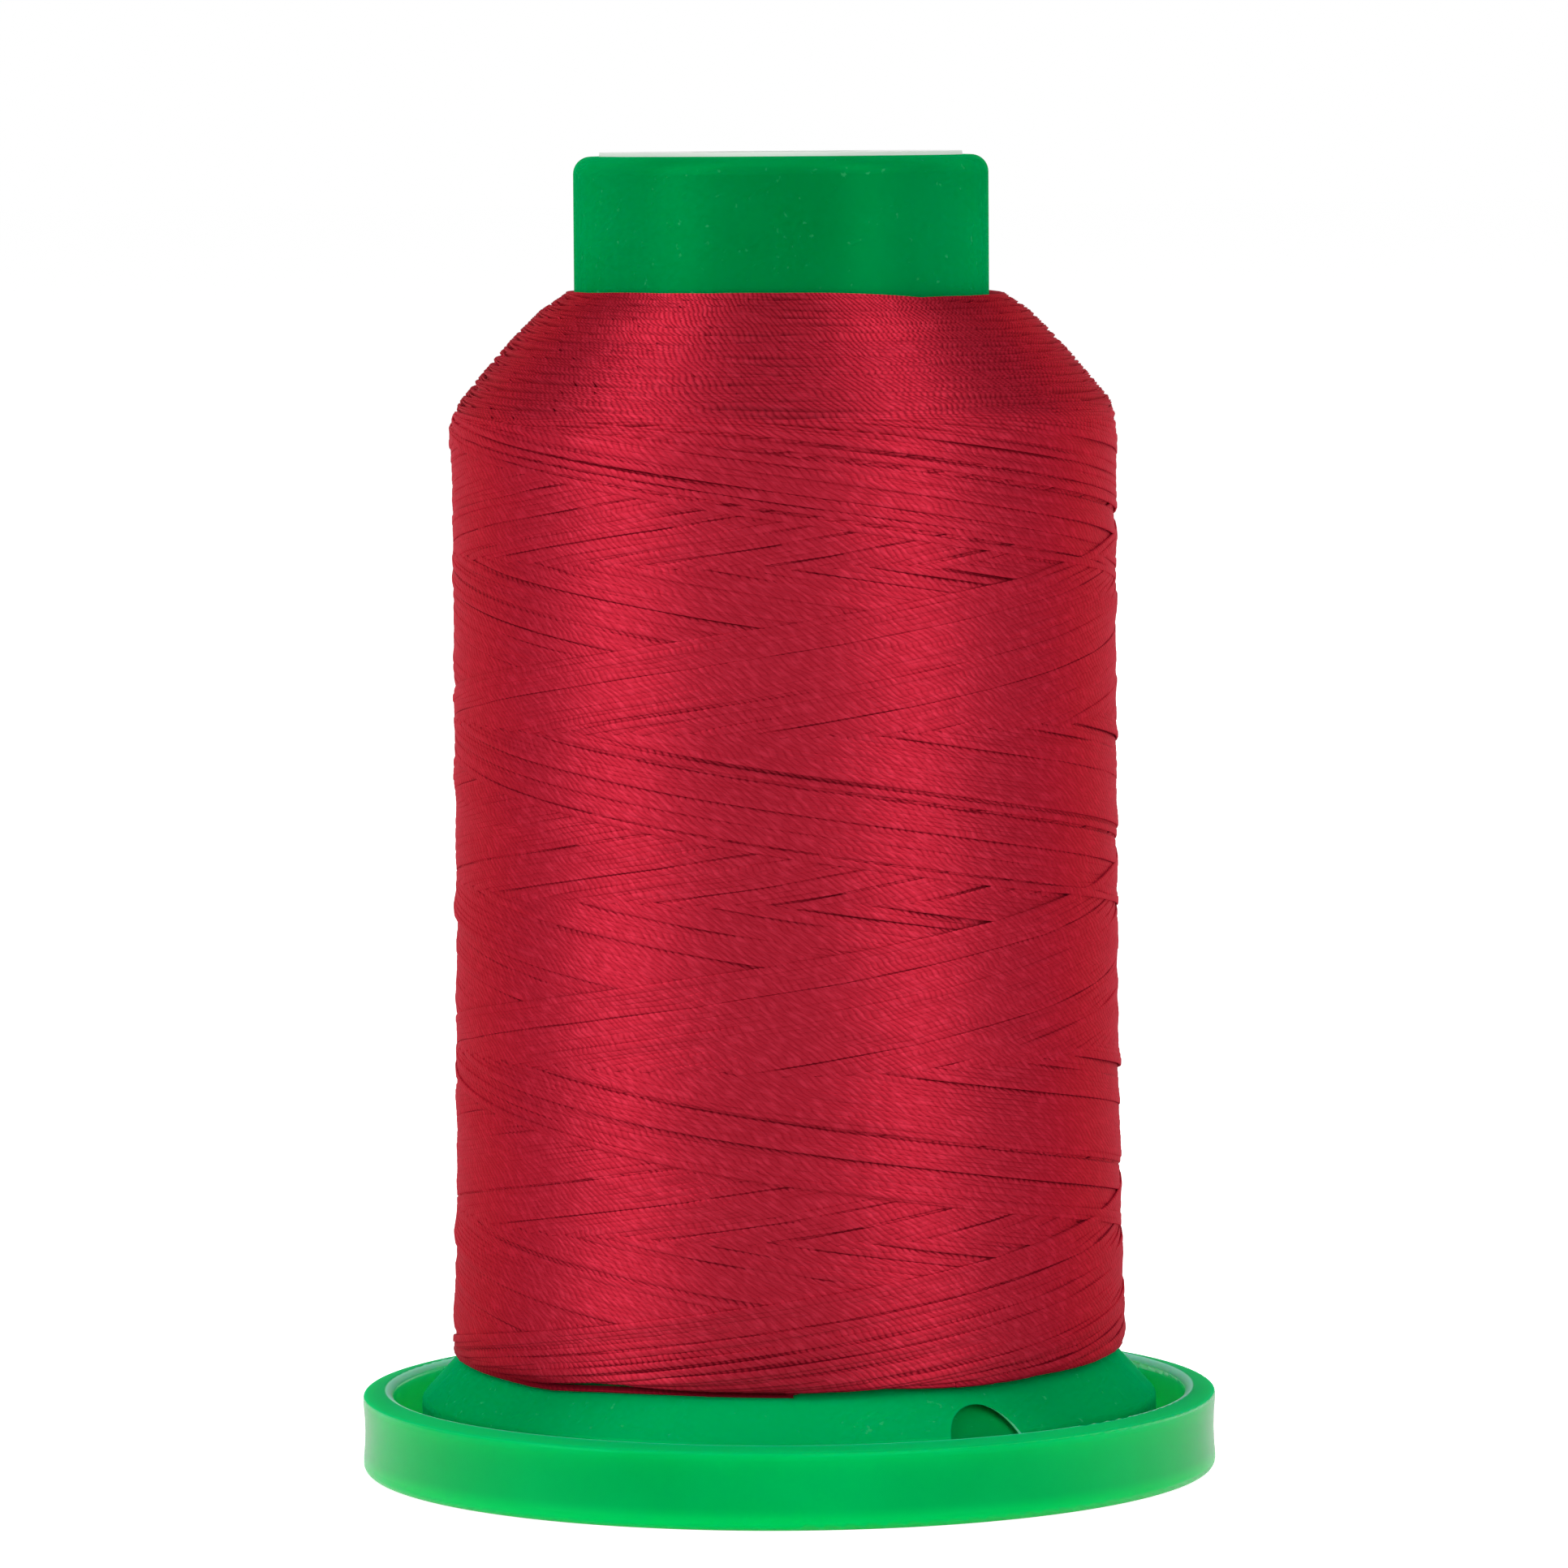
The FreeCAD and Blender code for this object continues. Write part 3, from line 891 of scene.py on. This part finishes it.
def ply_marks(tree, split):
    """Place along the lean of the ply marks, and the marks from 0 to 1."""
    front = math_node(tree, "MULTIPLY", split.outputs["Y"], -1.0)
    angle = math_node(tree, "ARCTAN2", split.outputs["X"], front)
    round_way = math_node(tree, "MULTIPLY", angle, SIDE_RADIUS * MM)
    wander_round = math_node(tree, "MULTIPLY", round_way, WANDER_ROUND)
    wander_up = math_node(tree, "MULTIPLY", split.outputs["Z"], WANDER_UP)
    wander = noise(tree, joined(tree, wander_round, wander_up), 1.0, 1.0)
    way = math_node(tree, "MULTIPLY_ADD", split.outputs["Z"], PLY_LEAN, round_way)
    phase = math_node(tree, "DIVIDE", way, PLY_LENGTH * MM)
    phase = math_node(tree, "MULTIPLY_ADD", wander, PLY_WANDER, phase)
    wave = math_node(tree, "SINE", math_node(tree, "MULTIPLY", phase, TURN / 2))
    return way, math_node(tree, "ABSOLUTE", wave)


def thread_tone(tree, height, way, ply):
    """Tone of the thread, with its ply marks, painted glints, and painted shade in the gaps and at the
    foot.
    """
    # The ply twist is the thread's own pattern; the darker tone in the hollows between the plies is painted
    # shade, stronger on the slack shoulder.
    side_tone = two_tone(tree, ply, PLY_RAMP, THREAD_DARK, THREAD_LIGHT)
    slack_tone = tone_mix(tree, ply, SLACK_DARK, SLACK_LIGHT)
    tone = tone_mix(tree, up_to(tree, height, SIDE_UP_TO), slack_tone, side_tone)
    # Painted highlight: streaks of a lighter tone that stand for glints along the ply marks.
    across = math_node(tree, "MULTIPLY", way, GLINTS_ACROSS)
    along = math_node(tree, "MULTIPLY", height, GLINTS_ALONG)
    glint_noise = noise(tree, joined(tree, across, along), 1.0, 1.0)
    painted_glint_share = stepped(tree, glint_noise, GLINT_LIMITS, 0.0, GLINT_SHARE, soft=False)
    tone = tone_mix(tree, painted_glint_share, tone, GLINT)
    # Painted shade: darker where a thread is shut in by its neighbours, and on the lowest threads at the
    # foot.
    shut = tree.nodes.new("ShaderNodeAttribute")
    shut.attribute_name = "shut"
    dashed = math_node(tree, "MULTIPLY_ADD", ply, -GAP_DASHES, shut.outputs["Fac"])
    gap_shade = stepped(tree, dashed, GAP_LIMITS, 0.0, 1.0, soft=True)
    gap_shade = overlap(tree, gap_shade, up_to(tree, height, GAPS_UP_TO))
    dark = math_node(tree, "MAXIMUM", gap_shade, up_to(tree, height, SHADE_UP_TO))
    return tone_mix(tree, dark, tone, GAP_SHADE)


def thread_material():
    """Lustrous two-ply filament thread, whose ply marks lean the same way on neighbouring threads."""
    material, tree, shader = principled("lustrous_thread", THREAD_LIGHT, THREAD_LUSTRE)
    _, split = object_place(tree)
    way, ply = ply_marks(tree, split)
    tree.links.new(thread_tone(tree, split.outputs["Z"], way, ply), shader.inputs["Base Color"])
    relief(tree, shader, ply, 1.0, PLY_DEPTH)
    upright = tree.nodes.new("ShaderNodeCombineXYZ")
    upright.inputs["Z"].default_value = 1.0
    tree.links.new(upright.outputs[0], shader.inputs["Tangent"])
    return material


# Both plastics: soft clouds in the tone, and a fine grain
CLOUD_SCALE = 90.0
CLOUD_DETAIL = 3.0
CLOUD_RAMP = (0.3, 0.7)
GRAIN_SCALE = 1600.0
GRAIN_DETAIL = 3.0
GRAIN_STRENGTH = 0.3
GRAIN_DEPTH = 0.02


def plastic_material(name, dark, light, lustre):
    """Satin green polypropylene, clouded between two tones."""
    material, tree, shader = principled(name, light, lustre)
    place, split = object_place(tree)
    cloud = noise(tree, place, CLOUD_SCALE, CLOUD_DETAIL)
    tone = two_tone(tree, cloud, CLOUD_RAMP, dark, light)
    grain = noise(tree, place, GRAIN_SCALE, GRAIN_DETAIL)
    relief(tree, shader, grain, GRAIN_STRENGTH, GRAIN_DEPTH)
    return material, tree, shader, place, split, tone


# Base: tones, painted light and painted shade among them, and where they lie in millimetres from the axis
# or the floor
# Tones lighter than the core's, though it is the same green plastic: light that comes through the thin
# shell is painted in.
BASE_DARK = (0, 181, 89)
BASE_LIGHT = (0, 193, 99)
BASE_LUSTRE = {
    "Specular IOR Level": 0.2,
    "Specular Tint": (0.0, 1.0, 0.5, 1),
    "Subsurface Weight": 1.0,
    "Subsurface Radius": (0.2, 1.0, 0.5),
    "Subsurface Scale": 5.0 * MM,
}
LIT_EDGE = (0, 240, 105)
LIT_EDGE_UP_TO = (0.1, 1.2)
LIT_EDGE_SHARE = 0.8
RIM_FACE_SHADE = (0, 172, 88)
RIM_FACE_FROM = (3.86, 3.94)
RIM_EDGE_HIGHLIGHT = (140, 250, 200)
RIM_EDGE_UP_TO = (21.05, 21.15)
LIT_INSIDE = (50, 255, 180)
LIT_INSIDE_FROM = (15.0, 18.5)
LIT_INSIDE_UP_TO = (20.67, 20.75)
WALL_ROUGHNESS = 0.2
FACE_ROUGHNESS = 1.0


def base_plastic():
    """Thin shell: light that comes through the inside of the rim and along the edge that it stands on is
    painted into its tone, with a painted highlight on the rim's inner edge and painted shade on the rim's
    top face.
    """
    plastic = plastic_material("thin_green_plastic", BASE_DARK, BASE_LIGHT, BASE_LUSTRE)
    material, tree, shader, _, split, tone = plastic
    radius, height = from_axis(tree, split), split.outputs["Z"]
    # Painted light: the edge the base stands on is painted brighter, for light that comes into the plastic
    # from the floor.
    low_edge = math_node(tree, "MULTIPLY", up_to(tree, height, LIT_EDGE_UP_TO), LIT_EDGE_SHARE)
    tone = tone_mix(tree, low_edge, tone, LIT_EDGE)
    # Painted shade: the rim's top face is painted a darker green; it is also rougher.
    face = past(tree, height, RIM_FACE_FROM)
    tone = tone_mix(tree, face, tone, RIM_FACE_SHADE)
    # Painted highlight: a pale line along the rim's rounded inner edge.
    tone = tone_mix(tree, overlap(tree, face, up_to(tree, radius, RIM_EDGE_UP_TO)), tone, RIM_EDGE_HIGHLIGHT)
    # Painted light: the inside of the rim is painted pale, for light that comes through the thin far wall.
    near_rim = past(tree, radius, LIT_INSIDE_FROM)
    inside = overlap(tree, near_rim, up_to(tree, radius, LIT_INSIDE_UP_TO))
    tone = tone_mix(tree, inside, tone, LIT_INSIDE)
    tree.links.new(tone, shader.inputs["Base Color"])
    rougher = FACE_ROUGHNESS - WALL_ROUGHNESS
    rough = math_node(tree, "MULTIPLY_ADD", face, rougher, WALL_ROUGHNESS)
    tree.links.new(rough, shader.inputs["Roughness"])
    return material


# Core: tones, painted light and painted shade among them, and where they lie in millimetres from the axis,
# the floor or the foot's surface
CORE_DARK = (0, 134, 62)
CORE_LIGHT = (0, 149, 76)
CORE_LUSTRE = {
    "Roughness": 0.38,
    "Metallic": 0.15,
    "Specular IOR Level": 0.0,
    "Specular Tint": (0.0, 0.05, 0.03, 1),
    "Subsurface Weight": 1.0,
    "Subsurface Radius": (0.2, 1.0, 0.5),
    "Subsurface Scale": 0.7 * MM,
}
FOOT_PAINTED_LIGHT = (0, 152, 80)
FOOT_LIT = (0, 174, 94)
FOOT_FRONT = (-17.5, -12.0)
FOOT_UP_TO = (6.0, 14.0)
NOTCH_WALL_LIGHT = (150, 255, 215)
NOTCH_BACK_SHADE = (0, 146, 70)
NOTCH_AZIMUTH = np.radians(-58.5)
NOTCH_UP_TO = (5.3, 5.4)
NOTCH_WITHIN = (2.27, 2.32)
NOTCH_SIDE = (-1.0, 0.0)
NOTCH_EDGE_FROM = (0.04, 0.1)
NOTCH_BACK_FROM = (0.36, 0.44)
SCUFF = (70, 190, 130)
SCUFF_SCALE = 2400.0
SCUFF_DETAIL = 2.0
SCUFF_LIMITS = (0.68, 0.76)
SCUFF_SHARE = 0.3


def notch_zones(tree, split):
    """Where the notch in the foot is: all of its recess, which gets a painted highlight, and its back,
    which gets painted shade.
    """
    x, y, height = (split.outputs[axis] for axis in "XYZ")
    inwards = math_node(tree, "SUBTRACT", FOOT_RADIUS * MM, from_axis(tree, split))
    surface = math_node(tree, "MULTIPLY_ADD", inwards, FOOT_SLOPE, FOOT_EDGE_HEIGHT * MM)
    depth = math_node(tree, "SUBTRACT", surface, height)
    along_x = math_node(tree, "MULTIPLY", x, -np.sin(NOTCH_AZIMUTH))
    sideways = math_node(tree, "MULTIPLY_ADD", y, np.cos(NOTCH_AZIMUTH), along_x)
    zone = up_to(tree, height, NOTCH_UP_TO)
    zone = overlap(tree, zone, up_to(tree, math_node(tree, "ABSOLUTE", sideways), NOTCH_WITHIN))
    zone = overlap(tree, zone, up_to(tree, y, NOTCH_SIDE))
    recess = overlap(tree, zone, past(tree, depth, NOTCH_EDGE_FROM))
    back = overlap(tree, zone, past(tree, depth, NOTCH_BACK_FROM))
    return recess, back


def core_plastic():
    """Thicker wall; the foot is painted lighter, most at the front, for light that comes through the shell
    round it, and the notch carries painted light and shade.
    """
    plastic = plastic_material("green_plastic", CORE_DARK, CORE_LIGHT, CORE_LUSTRE)
    material, tree, shader, place, split, tone = plastic
    # Painted light: the foot is painted lighter than the collar, and lightest at the front, toward -Y, for
    # light that comes through the base round it.
    painted_foot_light = tone_mix(tree, up_to(tree, split.outputs["Y"], FOOT_FRONT), FOOT_PAINTED_LIGHT, FOOT_LIT)
    tone = tone_mix(tree, up_to(tree, split.outputs["Z"], FOOT_UP_TO), tone, painted_foot_light)
    recess, back = notch_zones(tree, split)
    # Painted light and shade: the notch's walls are painted pale as a highlight over the recess's shade,
    # and its back a darker green as shade.
    tone = tone_mix(tree, recess, tone, NOTCH_WALL_LIGHT)
    tone = tone_mix(tree, back, tone, NOTCH_BACK_SHADE)
    specks = noise(tree, place, SCUFF_SCALE, SCUFF_DETAIL)
    scuffed = stepped(tree, specks, SCUFF_LIMITS, 0.0, SCUFF_SHARE, soft=False)
    tree.links.new(tone_mix(tree, scuffed, tone, SCUFF), shader.inputs["Base Color"])
    return material


PAPER_SHADE = (249, 249, 246)
PAPER_WHITE = (255, 255, 254)
PAPER_SCALE = 1800.0
PAPER_DETAIL = 4.0
PAPER_STRENGTH = 0.2
PAPER_DEPTH = 0.02


def paper_material():
    """Matt white paper with a faint fibre."""
    material, tree, shader = principled("label_paper", PAPER_WHITE, {"Roughness": 0.7})
    place, _ = object_place(tree)
    fibre = noise(tree, place, PAPER_SCALE, PAPER_DETAIL)
    tree.links.new(tone_mix(tree, fibre, PAPER_SHADE, PAPER_WHITE), shader.inputs["Base Color"])
    relief(tree, shader, fibre, PAPER_STRENGTH, PAPER_DEPTH)
    return material


# The spool
def dress(node, material):
    """Gives a node of the frame its material."""
    mesh = nodes[node].data
    mesh.materials.clear()
    mesh.materials.append(material)


def thread_groups(shoulder_tracks, side_tracks, tail_track):
    """Laid threads, by the piece that they belong to."""
    half = len(shoulder_tracks) // 2
    groups = {"shoulder_upper": shoulder_tracks[:half], "shoulder_lower": shoulder_tracks[half:]}
    shown = side_tracks[-SHOWN_STROKES:]
    share = int(np.ceil(len(shown) / len(SIDE_PIECES)))
    for index, letter in enumerate(SIDE_PIECES):
        groups["side_" + letter] = shown[index * share:(index + 1) * share]
    groups["tail"] = [tail_track]
    return groups


def wind_thread(material):
    """The wound body, the fibres at the thread's end, and the threads that are laid one by one."""
    rng = np.random.default_rng(SEED)
    surface = WoundSurface(WOUND_OUTLINE)
    winding = Winding(surface)
    shoulder_tracks = lay_shoulder(winding, rng)
    side_tracks = lay_side(winding, rng)
    mean = mean_field(winding)
    tail_track = lay_tail(winding)
    shut = shut_field(winding)
    body = thread_body(surface)
    body.data.materials.append(material)
    tree = thread_tree(material)
    laid = []
    for name, tracks in thread_groups(shoulder_tracks, side_tracks, tail_track).items():
        on_shoulder = name.startswith("shoulder")
        section = ARC_SECTION if on_shoulder else SIDE_SECTION
        off_axis = ARC_OFF_AXIS if on_shoulder else OFF_AXIS
        strands = [strand_points(winding, mean, track, off_axis) for track in tracks]
        piece = thread_piece("thread_" + name, strands, tree, *section)
        keep_shut(piece, winding, shut)
        if on_shoulder:
            calm(piece, surface)
        laid.append(piece)
    tail_points, _ = strands[0]
    fibres = thread_piece("thread_fibres", frayed_end(tail_points[-1], rng), tree, *FIBRE_SECTION)
    return body, fibres, laid


add_camera()
add_world()
add_floor()
add_lights()

dress("snap_base", base_plastic())
dress("spool_core", core_plastic())
dress("top_label", paper_material())

body, fibres, laid = wind_thread(thread_material())
for piece in (body, fibres, *laid):
    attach(piece, "spool")
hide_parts("thread_pack")
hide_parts("thread_turns")

bpy.context.scene.view_settings.view_transform = "Standard"
